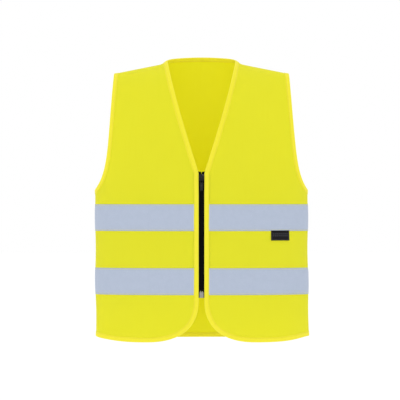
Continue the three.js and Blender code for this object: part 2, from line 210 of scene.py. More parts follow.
# A thin closed sheet between an outer and an inner grid of the same shape.
def slab(name, outer, inner, finish, place, flip=False):
    rows, columns = outer.shape[:2]
    count = rows * columns
    top = gridFaces(rows, columns)
    rim = np.concatenate([
        np.arange(columns), np.arange(1, rows) * columns + columns - 1,
        (rows - 1) * columns + np.arange(columns - 2, -1, -1), np.arange(rows - 2, 0, -1) * columns,
    ])
    after = np.roll(rim, -1)
    wall = np.stack([rim, rim + count, after + count, after], -1)
    faces = np.concatenate([top, top[:, ::-1] + count, wall])
    if flip:
        faces = faces[:, ::-1]
    points = np.concatenate([outer.reshape(-1, 3), inner.reshape(-1, 3)])
    return makePiece(name, points, faces, finish, np.concatenate([place.reshape(-1, 3)] * 2))


# A closed section carried along a path: sections is an array of stations, section points and coordinates.
def sweep(name, sections, finish, place=None, flip=False, **options):
    stations, around = sections.shape[:2]
    faces = [tuple(f) for f in gridFaces(stations, around, closed=True)]
    faces += [tuple(range(around))[::-1], tuple((stations - 1) * around + np.arange(around))]
    if flip:
        faces = [f[::-1] for f in faces]
    return makePiece(name, sections, faces, finish, place, **options)


def turned(faces):
    return [tuple(f)[::-1] for f in faces]


def spaced(path, step=None, count=None):
    run = np.concatenate([[0], np.cumsum(np.linalg.norm(np.diff(path, axis=0), axis=1))])
    count = count or max(2, int(round(run[-1] / step)) + 1)
    at = np.linspace(0, run[-1], count)
    return np.stack([np.interp(at, run, path[:, k]) for k in range(3)], -1), at


def inwardAlong(path):
    inward = np.cross(outwardAt(path), np.gradient(path, axis=0))
    return inward / np.linalg.norm(inward, axis=1)[:, None]


def mirrored(p, side):
    return p * np.array([side, 1, 1])


# The bound edges of the vest, as dense paths with the cloth on their left when seen from outside.
def vNeck(t):
    foot = np.array([cut["frontGap"], cut["vFoot"]])
    pull = np.array(cut["vPull"])
    top = np.array([cut["neckX"], ridge(np.array(cut["neckX"]))])
    t = t[:, None]
    return foot * (1 - t) ** 2 + pull * 2 * t * (1 - t) + top * t**2


def cornerCurve(a):
    power = 2 / cut["cornerSquareness"]
    x = cut["cornerX"] - (cut["cornerX"] - cut["frontGap"]) * np.cos(a) ** power
    return np.stack([x, cut["cornerHeight"] * (1 - np.sin(a) ** power)], -1)


def hemHeight(x):
    return cut["sideHem"] * np.clip((x - cut["cornerX"]) / (torso["halfWidth"] - cut["cornerX"]), 0, 1) ** 2.5


def frontEdgePath():
    neckEdge = vNeck(1 - np.linspace(0, 1, 300) ** 2)
    upright = np.linspace(cut["vFoot"], cut["cornerHeight"], 60)
    straight = np.stack([np.full(60, cut["frontGap"]), upright], -1)
    corner = cornerCurve(np.linspace(0, math.pi / 2, 300))
    cornerAngle = math.asin(cut["cornerX"] / torso["halfWidth"])
    x = torso["halfWidth"] * np.sin(np.linspace(cornerAngle, math.pi / 2, 300))
    level = np.stack([x, hemHeight(x)], -1)
    flat = np.concatenate([neckEdge, straight[1:], corner[1:], level[1:]])
    return onBody(flat[:, 0], flat[:, 1], -1)


def armholeHalf():
    w = (1 - np.cos(math.pi * np.linspace(0, 1, 600))) / 2
    h = cut["armholeBase"] + (cut["tipHeight"] - cut["armholeBase"]) * w
    x = cut["tipX"] + cut["armholeSlope"] * (cut["tipHeight"] - h)
    x = x + cut["scoop"] * np.exp(-(h - cut["armholeBase"]) / cut["scoopReach"])
    x[0] = torso["halfWidth"]  # front and back meet in the side seam
    return onBody(np.minimum(x, torso["halfWidth"]), h, -1)


def armholePath():
    half = armholeHalf()
    return np.concatenate([half, (half * [1, -1, 1])[-2::-1]])


def backHemPath():
    x = torso["halfWidth"] * np.sin(np.linspace(math.pi / 2, -math.pi / 2, 500))
    h = cut["backHem"] + (cut["sideHem"] - cut["backHem"]) * np.abs(x / torso["halfWidth"]) ** 6
    return onBody(x, h, 1)


def backNeckPath():
    x = -cut["neckX"] * np.cos(np.linspace(0, math.pi, 500))
    share = np.abs(x / cut["neckX"])
    arch = cut["backNeckHeight"] - cut["backNeckArch"] * share**2
    top = ridge(np.array(cut["neckX"]))
    return onBody(x, arch + (top - arch) * share**16, 1)


# How far round the cloth a point is, from the front or back middle. The knit runs straight up along it.
girthX = torso["halfWidth"] * np.sin(np.linspace(0, math.pi / 2, 2000))
girthPoints = onBody(girthX, 0.2, 1)
girthRun = np.concatenate([[0], np.cumsum(np.linalg.norm(np.diff(girthPoints, axis=0), axis=1))])


def clothPlace(p):
    u = np.sign(p[..., 0]) * np.interp(np.abs(p[..., 0]), girthX, girthRun)
    return np.stack([u, p[..., 2], np.zeros_like(u)], -1)


# Shader nodes as plain expressions: a Wire wraps a socket, and sums on Wires add their Math nodes.
class Wire:
    def __init__(self, kit, socket):
        self.kit, self.socket = kit, socket

    def sum(self, operation, a, b=None):
        values = {0: a} if b is None else {0: a, 1: b}
        return self.kit.node("ShaderNodeMath", {"operation": operation}, values)

    def __add__(self, other):
        return self.sum("ADD", self, other)

    def __radd__(self, other):
        return self.sum("ADD", other, self)

    def __sub__(self, other):
        return self.sum("SUBTRACT", self, other)

    def __rsub__(self, other):
        return self.sum("SUBTRACT", other, self)

    def __mul__(self, other):
        return self.sum("MULTIPLY", self, other)

    def __rmul__(self, other):
        return self.sum("MULTIPLY", other, self)

    def __truediv__(self, other):
        return self.sum("DIVIDE", self, other)

    def __pow__(self, other):
        return self.sum("POWER", self, other)

    def __gt__(self, other):
        return self.sum("GREATER_THAN", self, other)

    def __lt__(self, other):
        return self.sum("LESS_THAN", self, other)

    def abs(self):
        return self.sum("ABSOLUTE", self)

    def sine(self):
        return self.sum("SINE", self)

    def fraction(self):
        return self.sum("FRACT", self)

    def least(self, other):
        return self.sum("MINIMUM", self, other)

    def most(self, other):
        return self.sum("MAXIMUM", self, other)


class Finish:
    def __init__(self, name, **settings):
        self.material = bpy.data.materials.new(name)
        self.material.use_nodes = True
        self.nodes = self.material.node_tree.nodes
        self.links = self.material.node_tree.links
        self.shader = self.nodes["Principled BSDF"]
        for key, value in settings.items():
            self.set(self.shader, key, value)

    def set(self, node, key, value):
        socket = node.inputs[key.replace("_", " ")] if isinstance(key, str) else node.inputs[key]
        if isinstance(value, Wire):
            self.links.new(value.socket, socket)
        elif isinstance(value, tuple) and len(value) == 3 and socket.type == "RGBA":
            socket.default_value = (*value, 1)
        else:
            socket.default_value = value

    def node(self, kind, settings=None, values=None, output=0):
        made = self.nodes.new(kind)
        for key, value in (settings or {}).items():
            if key == "stops":
                self.setStops(made.color_ramp, value)
            else:
                setattr(made, key, value)
        for key, value in (values or {}).items():
            self.set(made, key, value)
        return Wire(self, made.outputs[output])

    def setStops(self, ramp, stops):
        while len(ramp.elements) < len(stops):
            ramp.elements.new(0.5)
        for element, (at, color) in zip(ramp.elements, stops):
            element.position, element.color = at, (*color, 1)

    def clothPlace(self):
        place = self.node("ShaderNodeAttribute", {"attribute_name": "clothPlace"}, output=1)
        split = self.node("ShaderNodeSeparateXYZ", values={0: place}).socket.node
        return [Wire(self, split.outputs[k]) for k in range(2)] + [place]

    def objectPlace(self):
        place = self.node("ShaderNodeTexCoord", output=3)
        split = self.node("ShaderNodeSeparateXYZ", values={0: place}).socket.node
        return [Wire(self, split.outputs[k]) for k in range(3)] + [place]

    def stretched(self, place, scale):
        return self.node("ShaderNodeMapping", values={"Vector": place, "Scale": scale})

    def noise(self, place, scale, detail=2.0, roughness=0.5):
        values = {"Vector": place, "Scale": scale, "Detail": detail, "Roughness": roughness}
        return self.node("ShaderNodeTexNoise", values=values)

    def mix(self, share, a, b, blend="MIX"):
        settings = {"data_type": "RGBA", "blend_type": blend}
        return self.node("ShaderNodeMix", settings, {0: share, 6: a, 7: b}, output=2)

    def bump(self, height, distance, strength=1.0):
        values = {"Height": height, "Distance": distance, "Strength": strength}
        self.set(self.shader, "Normal", self.node("ShaderNodeBump", values=values))

    def glow(self, color, strength):  # painted glow: the surface gives off light of its own whatever the lamps; on the cloth it stands in for the fluorescent dye turning blue light into yellow-green
        self.set(self.shader, "Emission Color", color)
        self.set(self.shader, "Emission Strength", strength)

    def letLightThrough(self, color, share):  # thin cloth is lit from behind as well
        behind = self.node("ShaderNodeBsdfTranslucent", values={"Color": color})
        front = Wire(self, self.shader.outputs[0])
        both = self.node("ShaderNodeMixShader", values={0: share, 1: front, 2: behind})
        self.set(self.nodes["Material Output"], "Surface", both)

    def paint(self, color, roughness=None, metallic=None):
        for key, value in {"Base Color": color, "Roughness": roughness, "Metallic": metallic}.items():
            if value is not None:
                self.set(self.shader, key, value)
        return self.material


def screen(red, green, blue):
    shares = (c / 255 for c in (red, green, blue))
    return tuple(c / 12.92 if c < 0.0431 else ((c + 0.055) / 1.055) ** 2.4 for c in shares)


# Fluorescent warp-knit polyester: upright wales of slanted loops, faint uprights of colour, a soft sheen.
def makeKnit():
    look = {
        "color": screen(221, 233, 44), "deeper": screen(216, 226, 24), "lighter": screen(228, 240, 62),
        "wale": 0.0011, "course": 0.0009, "relief": 0.00012, "glow": (0.8, 0.8, 0.0), "glowStrength": 0.14,
        "through": (1.0, 0.86, 0.0), "throughShare": 0.45,
    }
    f = Finish("fluorescentKnit", Sheen_Weight=0.06, Sheen_Roughness=0.4, Sheen_Tint=(1, 1, 0.5))
    # painted glow: emission lights the knit whatever the lamps, partly standing in for the dye's real
    # fluorescence
    f.glow(look["glow"], look["glowStrength"])
    u, v, place = f.clothPlace()
    wale = (u / look["wale"]).fraction() - 0.5
    side = (wale > 0.0) * 2 - 1
    loops = ((v + wale.abs() * side * look["wale"] * 0.8) * (2 * math.pi / look["course"])).sine()
    round1 = 1 - (wale * 2) ** 2
    height = round1 * (0.7 + 0.3 * loops)
    streaks = f.noise(f.stretched(place, (1, 0.06, 1)), 260, 3, 0.6)
    cloud = f.noise(place, 14, 4, 0.55)
    slub = f.noise(f.stretched(place, (1, 0.3, 1)), 900, 2)
    tone = f.mix(streaks, look["deeper"], look["lighter"])
    tone = f.mix(0.42, look["color"], tone)
    tone = f.mix(((cloud - 0.5) * 0.5 + 0.12).most(0), tone, look["deeper"])
    # painted shade: the grooves between the wales are darkened in the colour
    tone = f.mix((1 - round1) * 0.22, tone, screen(194, 192, 9))
    f.bump(height + slub * 0.35, look["relief"], 0.8)
    f.letLightThrough(look["through"], look["throughShare"])
    return f.paint(tone, 0.62 + 0.14 * streaks + 0.08 * (1 - round1))


# Binding tape: fine cross ribs, a dimple at every stitch along the sewn row, and a slightly worn fold.
def makeBindingCloth():
    look = {
        "color": screen(230, 220, 38), "worn": screen(238, 230, 78), "deep": screen(216, 205, 22),
        "rib": 0.0007, "pitch": 0.0032, "sewnAt": 0.0074, "relief": 0.0002,
        "glow": (0.8, 0.74, 0.0), "glowStrength": 0.15,
    }
    f = Finish("foldedBinding", Sheen_Weight=0.1, Sheen_Roughness=0.35, Sheen_Tint=(1, 1, 0.6))
    # painted glow: emission lights the binding whatever the lamps, partly standing in for the dye's real
    # fluorescence
    f.glow(look["glow"], look["glowStrength"])
    along, across, place = f.clothPlace()
    ribs = ((along + across * 0.5) * (2 * math.pi / look["rib"])).sine()
    nearRow = (1 - ((across - look["sewnAt"]) * 700).abs()).most(0)
    dimples = ((along * (math.pi / look["pitch"])).sine()).abs() * nearRow
    puckers = f.noise(f.stretched(place, (1, 0.25, 1)), 240, 2)
    wear = f.noise(place, 420, 4, 0.7)
    fold = (1 - across * 900).most(0)
    tone = f.mix(puckers, look["color"], look["deep"])
    tone = f.mix(0.55, look["color"], tone)
    # painted shade: darker along the dimpled sewn row
    tone = f.mix(nearRow * 0.45, tone, look["deep"])
    tone = f.mix((fold + wear * 0.5 - 0.35).most(0).least(0.7), tone, look["worn"])
    f.bump(ribs * 0.18 + dimples * 0.9 + puckers * 1.5 + wear * 0.2, look["relief"], 0.8)
    return f.paint(tone, 0.58 + 0.2 * wear)


# Retroreflective tape: glass beads in resin on a cloth back, matt, with faint creases, painted glints and
# painted shade along both edges.
def makeReflectiveTape():
    look = {
        "color": screen(175, 186, 206), "dull": screen(162, 173, 193), "bright": screen(189, 199, 217),
        "width": 0.05, "bead": 2600, "glints": 4200, "relief": 0.00006,
    }
    f = Finish("reflectiveBeads", Specular_IOR_Level=0.35, Coat_Roughness=0.35, Coat_Weight=0.06)
    v, place = f.clothPlace()[1:]
    beads = f.node("ShaderNodeTexVoronoi", {"feature": "F1"}, {"Vector": place, "Scale": look["bead"]})
    glintSpots = {"Vector": place, "Scale": look["glints"]}
    sparkle = f.node("ShaderNodeTexVoronoi", {"feature": "F1"}, glintSpots, output=1)
    grain = f.noise(place, 90, 5, 0.65)
    creases = f.noise(f.stretched(place, (0.35, 1, 1)), 60, 6, 0.7)
    rubbed = f.noise(f.stretched(place, (1, 0.15, 1)), 35, 5, 0.6)
    glint = f.node("ShaderNodeSeparateColor", values={0: sparkle})
    nearEdge = (1 - v.least(look["width"] - v) * 420).most(0)
    tone = f.mix(grain, look["dull"], look["bright"])
    tone = f.mix(0.5, look["color"], tone)
    tone = f.mix((rubbed - 0.55).most(0) * 0.6, tone, look["dull"])
    # painted glints: tiny bright spots painted into the colour on the beads
    tone = f.mix((glint > 0.96) * 0.3, tone, screen(226, 232, 242))
    # painted shade: darker within a few millimetres of both edges
    tone = f.mix(nearEdge * 0.35, tone, screen(150, 158, 172))
    f.bump(beads * 0.25 + creases * 1.6 + grain * 0.4, look["relief"], 0.7)
    return f.paint(tone, 0.5 + 0.2 * grain - 0.12 * (glint > 0.96), 0.12)


# Black damask ribbon with a border and two rows of small woven diamonds, plain and meaning nothing.
def makeFlagCloth():
    look = {"ground": screen(24, 22, 24), "yarn": screen(84, 84, 90), "width": 0.0343, "cell": 0.0036}
    f = Finish("wovenFlagRibbon", Sheen_Weight=0.05, Sheen_Roughness=0.4, Specular_IOR_Level=0.08)
    u, v, place = f.clothPlace()
    pick = (v / 0.00028).fraction()
    warp = (u / 0.0003).fraction()
    weave = (pick - 0.5).abs() + (warp - 0.5).abs()
    a = (((u - look["width"] / 2) / look["cell"]).fraction() - 0.5).abs() * 2
    b = ((v / look["cell"]).fraction() - 0.5).abs() * 2
    inset = v.least(u).least(look["width"] - u)
    diamonds = (a + b < 0.72) * (v > 2 * look["cell"]) * (v < 4 * look["cell"]) * (inset > 0.0027)
    border = (inset > 0.0012) * (inset < 0.0018)
    figure = diamonds.most(border) * (v < 0.0162)
    tone = f.mix(figure * 0.75, look["ground"], look["yarn"])
    tone = f.mix(f.noise(place, 300, 3) * 0.3, tone, screen(44, 42, 46))
    f.bump(weave * 0.6 + figure * 0.5, 0.00008, 0.7)
    return f.paint(tone, 0.72 - 0.15 * figure)


def makeCareSatin():
    f = Finish("whiteCareSatin", Sheen_Weight=0.1, Specular_IOR_Level=0.6)
    u, v, place = f.clothPlace()
    floats = ((u + v) * 9000).sine()
    rule = (v / 0.0052).fraction() < 0.09
    tone = f.mix(f.noise(place, 120, 3), screen(236, 236, 232), screen(246, 246, 244))
    tone = f.mix(rule * 0.35 * (v > 0.012) * (v < 0.044), tone, screen(150, 150, 150))
    f.bump(floats, 0.00003, 0.5)
    return f.paint(tone, 0.42 + 0.08 * floats)


# Zip tape: black herringbone twill.
def makeZipTape():
    look = {"color": screen(6, 6, 5), "light": screen(17, 16, 15), "rib": 0.0024, "yarn": 0.00055}
    f = Finish("zipTapeTwill", Sheen_Weight=0.01, Sheen_Roughness=0.5, Specular_IOR_Level=0.02)
    u, v, place = f.clothPlace()
    zigzag = ((u / look["rib"]).fraction() - 0.5).abs() * look["rib"]
    twill = ((v + zigzag * 1.4) * (2 * math.pi / look["yarn"])).sine()
    fuzz = f.noise(place, 1800, 2)
    # painted highlight: the raised twill lines are lighter in the colour, with random fuzz on top
    tone = f.mix((twill * 0.5 + 0.5) * 0.5 + fuzz * 0.25, look["color"], look["light"])
    f.bump(twill + fuzz, 0.00009, 0.8)
    return f.paint(tone, 0.8 + 0.12 * fuzz)


def makeCoilNylon():
    f = Finish("coilNylon", Specular_IOR_Level=0.08, Coat_Weight=0.01, Coat_Roughness=0.25)
    place = f.objectPlace()[-1]
    scuff = f.noise(place, 700, 4, 0.7)
    tone = f.mix((scuff - 0.4).most(0), screen(6, 5, 5), screen(24, 23, 21))
    f.bump(f.noise(place, 2500, 2), 0.00003, 0.5)
    return f.paint(tone, 0.32 + 0.25 * scuff)


# Black enamel on cast zinc, rubbed to grey on its corners.
def makeEnamel():
    f = Finish("rubbedBlackEnamel", Coat_Weight=0.08, Coat_Roughness=0.2, Specular_IOR_Level=0.25)
    place = f.objectPlace()[-1]
    corner = f.node("ShaderNodeNewGeometry", output=7)
    rub = f.noise(place, 900, 5, 0.7)
    worn = ((corner - 0.56) * 9 + (rub - 0.55) * 1.2).most(0).least(1)
    tone = f.mix(worn * 0.8, screen(14, 13, 12), screen(100, 98, 92))
    f.bump(f.noise(place, 1500, 3), 0.00004, 0.6)
    return f.paint(tone, 0.34 + 0.2 * rub, worn * 0.7)


def makeNickel():
    f = Finish("satinNickel")
    place = f.objectPlace()[-1]
    brushed = f.noise(f.stretched(place, (1, 1, 0.08)), 2600, 3, 0.6)
    tarnish = f.noise(place, 420, 4, 0.6)
    tone = f.mix((tarnish - 0.45).most(0), screen(160, 158, 150), screen(96, 92, 84))
    f.bump(brushed, 0.00002, 0.5)
    return f.paint(tone, 0.22 + 0.3 * brushed, 1.0)


# Twisted thread: the ply shows as slanting bands.
def makeThread(name, color, shade):
    f = Finish(name, Sheen_Weight=0.2, Sheen_Roughness=0.3)
    x, y, z = f.objectPlace()[:3]
    ply = ((x + z + y) * 14000).sine()
    tone = f.mix(ply * 0.25 + 0.35, color, shade)
    f.bump(ply, 0.00004, 0.6)
    return f.paint(tone, 0.55 + 0.1 * ply)


knit = makeKnit()
bindingCloth = makeBindingCloth()
reflective = makeReflectiveTape()
flagCloth = makeFlagCloth()
careSatin = makeCareSatin()
zipTwill = makeZipTape()
coilNylon = makeCoilNylon()
enamel = makeEnamel()
nickel = makeNickel()
yellowThread = makeThread("yellowThread", screen(238, 232, 60), screen(206, 196, 18))
blackThread = makeThread("blackThread", screen(26, 25, 23), screen(60, 58, 54))
print("finishes made")


# Which body a piece follows. A front is one length of cloth.
def frontBodies(side):
    return "left_front" if side > 0 else "right_front"


def bendAcrossFold(piece, side):
    before, after = 0.016, 0.03  # how much cloth lies on either side of the fold line, in metres
    along = (foldTop - foldFoot).normalized()
    towards = Vector((-1, 0, 0))
    towards = (towards - along * towards.dot(along)).normalized()
    middle = (foldTop + foldFoot) / 2
    start, end = middle - towards * before, middle + towards * after
    flip = Vector((side, 1, 1))
    start * flip
    end * flip
    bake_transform(piece)


def stand(piece, slot, *nodes):
    if nodes:
        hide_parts(*nodes)
    return piece


def sideName(side):
    return "left" if side > 0 else "right"


cloth = {"half": 0.00025, "inset": 0.001, "hemRows": 26, "bodyRows": 60, "armholeRows": 84, "columns": 84}


# One front. Its inner edge runs round the hem corner, up the zip and along the V, its outer edge up the side.
def frontGrid():
    corner = cornerCurve(np.linspace(math.pi / 2, 0, 400))
    corner = spaced(onBody(corner[:, 0], corner[:, 1], -1), count=cloth["hemRows"])[0]
    straight = np.linspace(cut["cornerHeight"], cut["armholeBase"], cloth["bodyRows"])
    upper = np.stack([np.full(30, cut["frontGap"]), np.linspace(cut["armholeBase"], cut["vFoot"], 30)], -1)
    upper = np.concatenate([upper, vNeck(1 - (1 - np.linspace(0, 1, 400)) ** 2)[1:]])
    upper = spaced(onBody(upper[:, 0], upper[:, 1], -1), count=cloth["armholeRows"])[0]
    inner = np.concatenate([corner, onBody(cut["frontGap"], straight, -1)[1:], upper[1:]])
    inner = settle(inner - inwardAlong(inner) * cloth["inset"])
    sideHeights = np.linspace(cut["sideHem"], cut["cornerHeight"], cloth["hemRows"])
    sideLow = onBody(torso["halfWidth"], sideHeights, -1)
    armhole = insetArmhole()
    outer = np.concatenate([sideLow, onBody(torso["halfWidth"], straight, -1)[1:], armhole[1:]])
    u = np.linspace(0, 1, cloth["columns"])
    w = torso["halfWidth"]
    a = np.arcsin(np.clip(inner[:, 0] / w, -1, 1))[:, None]
    b = np.arcsin(np.clip(outer[:, 0] / w, -1, 1))[:, None]
    x = w * np.sin(a + (b - a) * u)
    share = (x - x[:, :1]) / (x[:, -1:] - x[:, :1])
    h = inner[:, 2:] + (outer[:, 2:] - inner[:, 2:]) * share
    low = np.clip(1 - np.arange(len(h)) / (cloth["hemRows"] - 1), 0, 1)[:, None]
    h += low * (hemHeight(x) + cloth["inset"] - cut["sideHem"] * share)
    first = len(h) - cloth["armholeRows"]
    high = np.clip((np.arange(len(h)) - first) / (cloth["armholeRows"] - 1), 0, 1)[:, None] ** 4
    h += high * (ridge(x) - (ridge(x[:, :1]) + (ridge(x[:, -1:]) - ridge(x[:, :1])) * share))
    return onBody(x, np.minimum(h, ridge(x)), -1)


def insetArmhole():
    path = armholeHalf()
    path = settle(path + inwardAlong(path) * cloth["inset"])
    path[0] = onBody(torso["halfWidth"], path[0, 2], -1)
    path[-1, 1:] = 0, ridge(path[-1:, 0])[0]
    return spaced(path, count=cloth["armholeRows"])[0]


def backGrid():
    shoulderColumns, neckColumns = 26, 50
    armhole = insetArmhole() * [1, -1, 1]
    neckEdge = spaced(backNeckPath(), count=neckColumns + 1)[0]
    neckEdge = settle(neckEdge + inwardAlong(neckEdge) * cloth["inset"])[1:-1][::-1]
    tip = armhole[-1, 0]
    x = np.linspace(tip, cut["neckX"] + cloth["inset"], shoulderColumns + 1)
    shoulderEdge = np.stack([x, x * 0, ridge(x)], -1)
    top = np.concatenate([shoulderEdge, neckEdge, shoulderEdge[::-1] * [-1, 1, 1]])
    angle = np.linspace(math.pi / 2, -math.pi / 2, len(top))
    base = armhole[0, 2]
    w = torso["halfWidth"]
    rows = cloth["hemRows"] + cloth["bodyRows"]
    v = np.linspace(0, 1, rows)[:, None]
    x = np.repeat(w * np.sin(angle)[None], rows, 0)
    foot = cut["backHem"] + (cut["sideHem"] - cut["backHem"]) * np.abs(x / w) ** 6 + cloth["inset"]
    low = onBody(x, foot + (base - foot) * v, 1)
    side = armhole[1:]
    up = ((side[:, 2] - base) / (side[-1, 2] - base))[:, None]
    x = side[:, :1] * (np.sin(angle) + (top[:, 0] / tip - np.sin(angle)) * up**1.5)
    h = np.minimum(base + (top[:, 2] - base) * up, ridge(x))
    return np.concatenate([low, onBody(x, h, 1)])


def makePanel(name, grid, side):
    grid = mirrored(grid, side)
    shape = grid.shape
    flatGrid = grid.reshape(-1, 3)
    outer = lay(flatGrid, cloth["half"]).reshape(shape)
    inner = lay(flatGrid, -cloth["half"]).reshape(shape)
    return slab(name, outer, inner, knit, clothPlace(grid), flip=side < 0)


# Anything with a constant section that follows an edge: bindings, bands, ribbons and seam turnings.
def follow(name, path, section, finish, side=1, step=0.003, ripple=0.0, lift=None, sharp=40, joined=False):
    path, run = spaced(path, step)
    inward = inwardAlong(path)
    if joined:  # the ends of a ring meet in one mitre
        mitre = inward[0] + inward[-1]
        inward[0] = inward[-1] = mitre * 2 / (mitre @ mitre)
    s = np.array(section)[:, 0] / 1000
    t = np.array(section)[:, 1] / 1000
    wave = np.sin(run * 230 + side) * np.sin(run * 61 + 2) * ripple
    s = s[None] * (1 + 0.02 * np.sin(run * 97 + side))[:, None] if ripple else np.repeat(s[None], len(run), 0)
    t = t[None] + wave[:, None] * np.sign(t)[None]
    if lift is not None:
        t = t + lift((run / run[-1])[:, None], s)
    base = path[:, None] + inward[:, None] * s[..., None]
    base = mirrored(settle(base.reshape(-1, 3)), side)
    place = np.stack([np.repeat(run[:, None], len(section), 1), s, s * 0], -1)
    points = lay(base, t.ravel()).reshape(len(path), len(section), 3)
    return sweep(name, points, finish, place, flip=side < 0, sharp=sharp)


# Sections are in millimetres: in from the edge, then out from the middle of the cloth.
def bindingSection():
    outer = [
        (9.0, 0.32), (9.05, 0.62), (8.8, 0.84), (8.3, 0.88), (7.8, 0.78), (7.4, 0.68), (7.0, 0.78),
        (6.2, 0.95), (4.6, 1.02), (2.8, 1.08), (1.4, 1.06), (0.6, 0.86), (0.15, 0.46),
    ]
    under = [(s, -t) for s, t in outer[::-1]]
    return outer + [(0.0, 0.0)] + under + [(1.1, -0.32), (0.8, 0.0), (1.1, 0.32)]


def bandSection(width=50.0):
    edge = [
        (0.0, 0.36), (-0.05, 0.48), (0.25, 0.62), (1.2, 0.64),
        (1.9, 0.56), (2.3, 0.5), (2.7, 0.57), (4.2, 0.72),
    ]
    flat = [(s, 0.8) for s in np.linspace(7, width - 7, 11)]
    outer = edge + flat + [(width - s, t) for s, t in edge[::-1]]
    under = [(s, 0.36) for s in np.linspace(2, width - 2, 14)]
    return outer[::-1] + under


bindingCut = bindingSection()
bandCut = bandSection()
bands = {
    "lower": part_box("back_lower_band")[0].z - hemZ,
    "upper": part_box("back_upper_band")[0].z - hemZ,
    "width": 0.05,
}
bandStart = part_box("left_lower_band_centre")[0].x - 0.0012  # tucked a little under the front binding


def bandPath(name, half):
    if half > 0:
        angle = np.linspace(math.pi / 2, -math.pi / 2, 600)
    else:
        angle = np.linspace(math.asin(bandStart / torso["halfWidth"]), math.pi / 2, 400)
    return onBody(torso["halfWidth"] * np.sin(angle), bands[name], half)


# Sewing: every stitch is a short thread lying on the cloth with both ends pulled in.
stitch = {
    "pitch": 0.0032, "length": 0.0025, "radius": 0.00022,
    "bindingRow": 0.0074, "bandRow": 0.0023, "zipRow": 0.0026, "tapeRow": 0.0104,  # in from the edge
    "onBinding": 0.00082, "onBandFace": 0.00064, "onBandBack": 0.0004,  # out from the middle of the cloth
    "onZipFace": 0.0011, "onZipBack": 0.00176, "onShoulder": 0.00036, "onTurning": 0.00098,
    "overlockPitch": 0.0016, "overlockAcross": 0.0034,
}


def stitchRow(path, s, out, side=1, pitch=None, across=0.0):
    pitch = pitch or stitch["pitch"]
    path = spaced(path, 0.002)[0]
    row = spaced(settle(path + inwardAlong(path) * s), pitch)[0]
    row = (row[1:] + row[:-1]) / 2
    inward = inwardAlong(row)
    base = mirrored(row, side)
    placed = lay(base, np.full(len(row), out))
    run = mirrored(inward, side) if across else np.gradient(placed, axis=0)
    run = run / np.linalg.norm(run, axis=1)[:, None]
    out = outwardAt(base) * (1 if out > 0 else -1)
    length = across or stitch["length"]
    return placed, run, out, np.full(len(row), length)


def sew(name, rows, finish):
    middle, run, up, length = (np.concatenate(part) for part in zip(*rows))
    r = stitch["radius"]
    along = np.array([-0.5, -0.38, -0.18, 0.18, 0.38, 0.5])
    wide = np.array([0.35, 0.85, 1, 1, 0.85, 0.35]) * r
    high = np.array([-1.6, -0.3, 0.25, 0.25, -0.3, -1.6]) * r
    sides = 6
    turn = np.arange(sides) * 2 * math.pi / sides
    cross = np.cross(up, run)
    ring = (
        middle[:, None, None] + run[:, None, None] * along[None, :, None, None] * length[:, None, None, None]
        + up[:, None, None] * (high[:, None] + wide[:, None] * np.cos(turn))[None, :, :, None]
        + cross[:, None, None] * (wide[:, None] * np.sin(turn))[None, :, :, None]
    )
    one = [tuple(f)[::-1] for f in gridFaces(len(along), sides, closed=True)]
    ends = [tuple(range(sides)), tuple(len(along) * sides - 1 - np.arange(sides))]
    count = len(along) * sides
    faces = [tuple(np.array(f) + k * count) for k in range(len(middle)) for f in one + ends]
    return makePiece(name, ring, faces, finish, sharp=60)


def tube(path, radius, facing, sides):
    run = np.gradient(path, axis=0)
    run /= np.linalg.norm(run, axis=1)[:, None]
    b = np.cross(run, facing)
    b /= np.linalg.norm(b, axis=1)[:, None]
    n = np.cross(b, run)
    turn = np.arange(sides) * 2 * math.pi / sides
    radius = np.broadcast_to(np.asarray(radius, float), len(path))[:, None, None]
    around = n[:, None] * np.cos(turn)[None, :, None] + b[:, None] * np.sin(turn)[None, :, None]
    return path[:, None] + radius * around


# Panels
print("cutting the cloth")
backPanel = stand(makePanel("backPanel", backGrid(), 1), "hi_vis_cloth", "back_panel")
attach(backPanel, "torso")
for side in (1, -1):
    name = sideName(side)
    panel = makePanel(name + "FrontPanel", frontGrid(), side)
    stand(panel, "hi_vis_cloth", name + "_front_side_panel", name + "_front_centre_panel")
    bendAcrossFold(panel, side)

# Reflective bands
print("laying the reflective bands")
for level in ("lower", "upper"):
    band = follow("back" + level.title() + "Band", bandPath(level, 1), bandCut, reflective, step=0.004)
    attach(stand(band, "reflective_tape", "back_" + level + "_band"), "torso")
    for side in (1, -1):
        name = sideName(side)
        path = bandPath(level, -1)
        band = follow(name + level.title() + "Band", path, bandCut, reflective, side, step=0.004)
        node = name + "_" + level + "_band_"
        bendAcrossFold(stand(band, "reflective_tape", node + "side", node + "centre"), side)

# Bindings
print("binding the edges")
bindingLay = {"step": 0.0025, "ripple": 0.00006}
for side in (1, -1):
    name = sideName(side)
    edge = follow(name + "FrontBinding", frontEdgePath(), bindingCut, bindingCloth, side, **bindingLay)
    nodes = [name + "_front_" + part + "_binding" for part in ("neck", "edge", "hem")]
    bendAcrossFold(stand(edge, "binding_tape", *nodes), side)
    ringName = name + "ArmholeBinding"
    ring = follow(ringName, armholePath(), bindingCut, bindingCloth, side, joined=True, **bindingLay)
    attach(stand(ring, "binding_tape", name + "_armhole_binding"), "torso")
for edge, path in {"hem": backHemPath(), "neck": backNeckPath()}.items():
    strip = follow("back" + edge.title() + "Binding", path, bindingCut, bindingCloth, **bindingLay)
    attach(stand(strip, "binding_tape", "back_" + edge + "_binding"), "torso")


